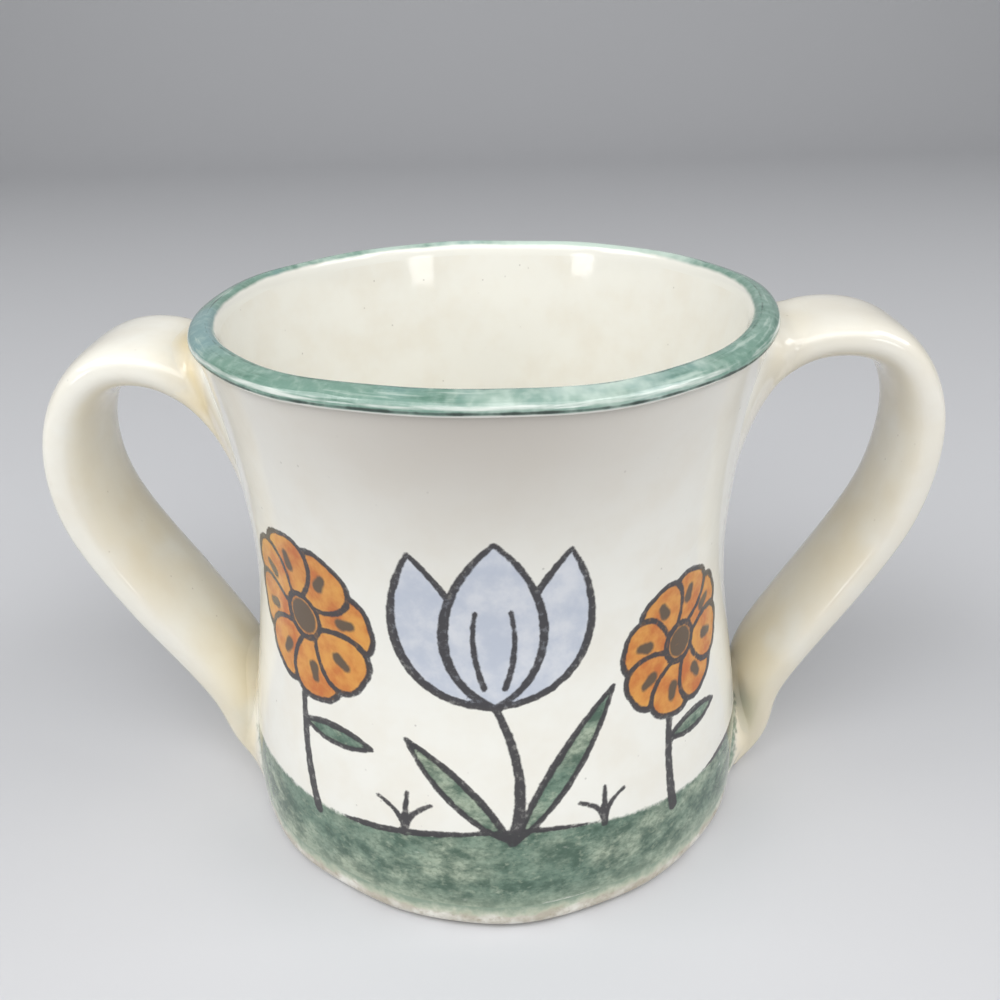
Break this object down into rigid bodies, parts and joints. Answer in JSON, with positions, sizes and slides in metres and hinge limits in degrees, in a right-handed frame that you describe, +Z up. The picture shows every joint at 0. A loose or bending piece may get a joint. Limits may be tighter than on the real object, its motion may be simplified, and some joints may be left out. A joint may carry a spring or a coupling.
{
  "type": "two-handled mug",
  "caption": "Waisted drinking mug, hand-built from clay slabs, with a strap handle on either side, a rounded lip and a flat foot.",
  "frame": {"origin": "on the table, at the centre of the flat foot, on the cup's axis", "axes": "+Z up along the cup's axis, +X towards the right-hand handle, +Y away from the picture's viewer"},
  "size_m": [0.153, 0.095, 0.0938],
  "materials": {
    "cream_glaze": "glossy cream glaze over light earthenware",
    "green_glaze": "glossy clear glaze over brushed green underglaze"
  },
  "bodies": {
    "root": {"floor_slab": "cream_glaze", "wall": "cream_glaze", "floor_seam_coil": "cream_glaze", "lip_coil": "green_glaze", "left_handle": "cream_glaze", "left_upper_root_coil": "cream_glaze", "left_lower_root_coil": "cream_glaze", "right_handle": "cream_glaze", "right_upper_root_coil": "cream_glaze", "right_lower_root_coil": "cream_glaze"}
  },
  "joints": []
}
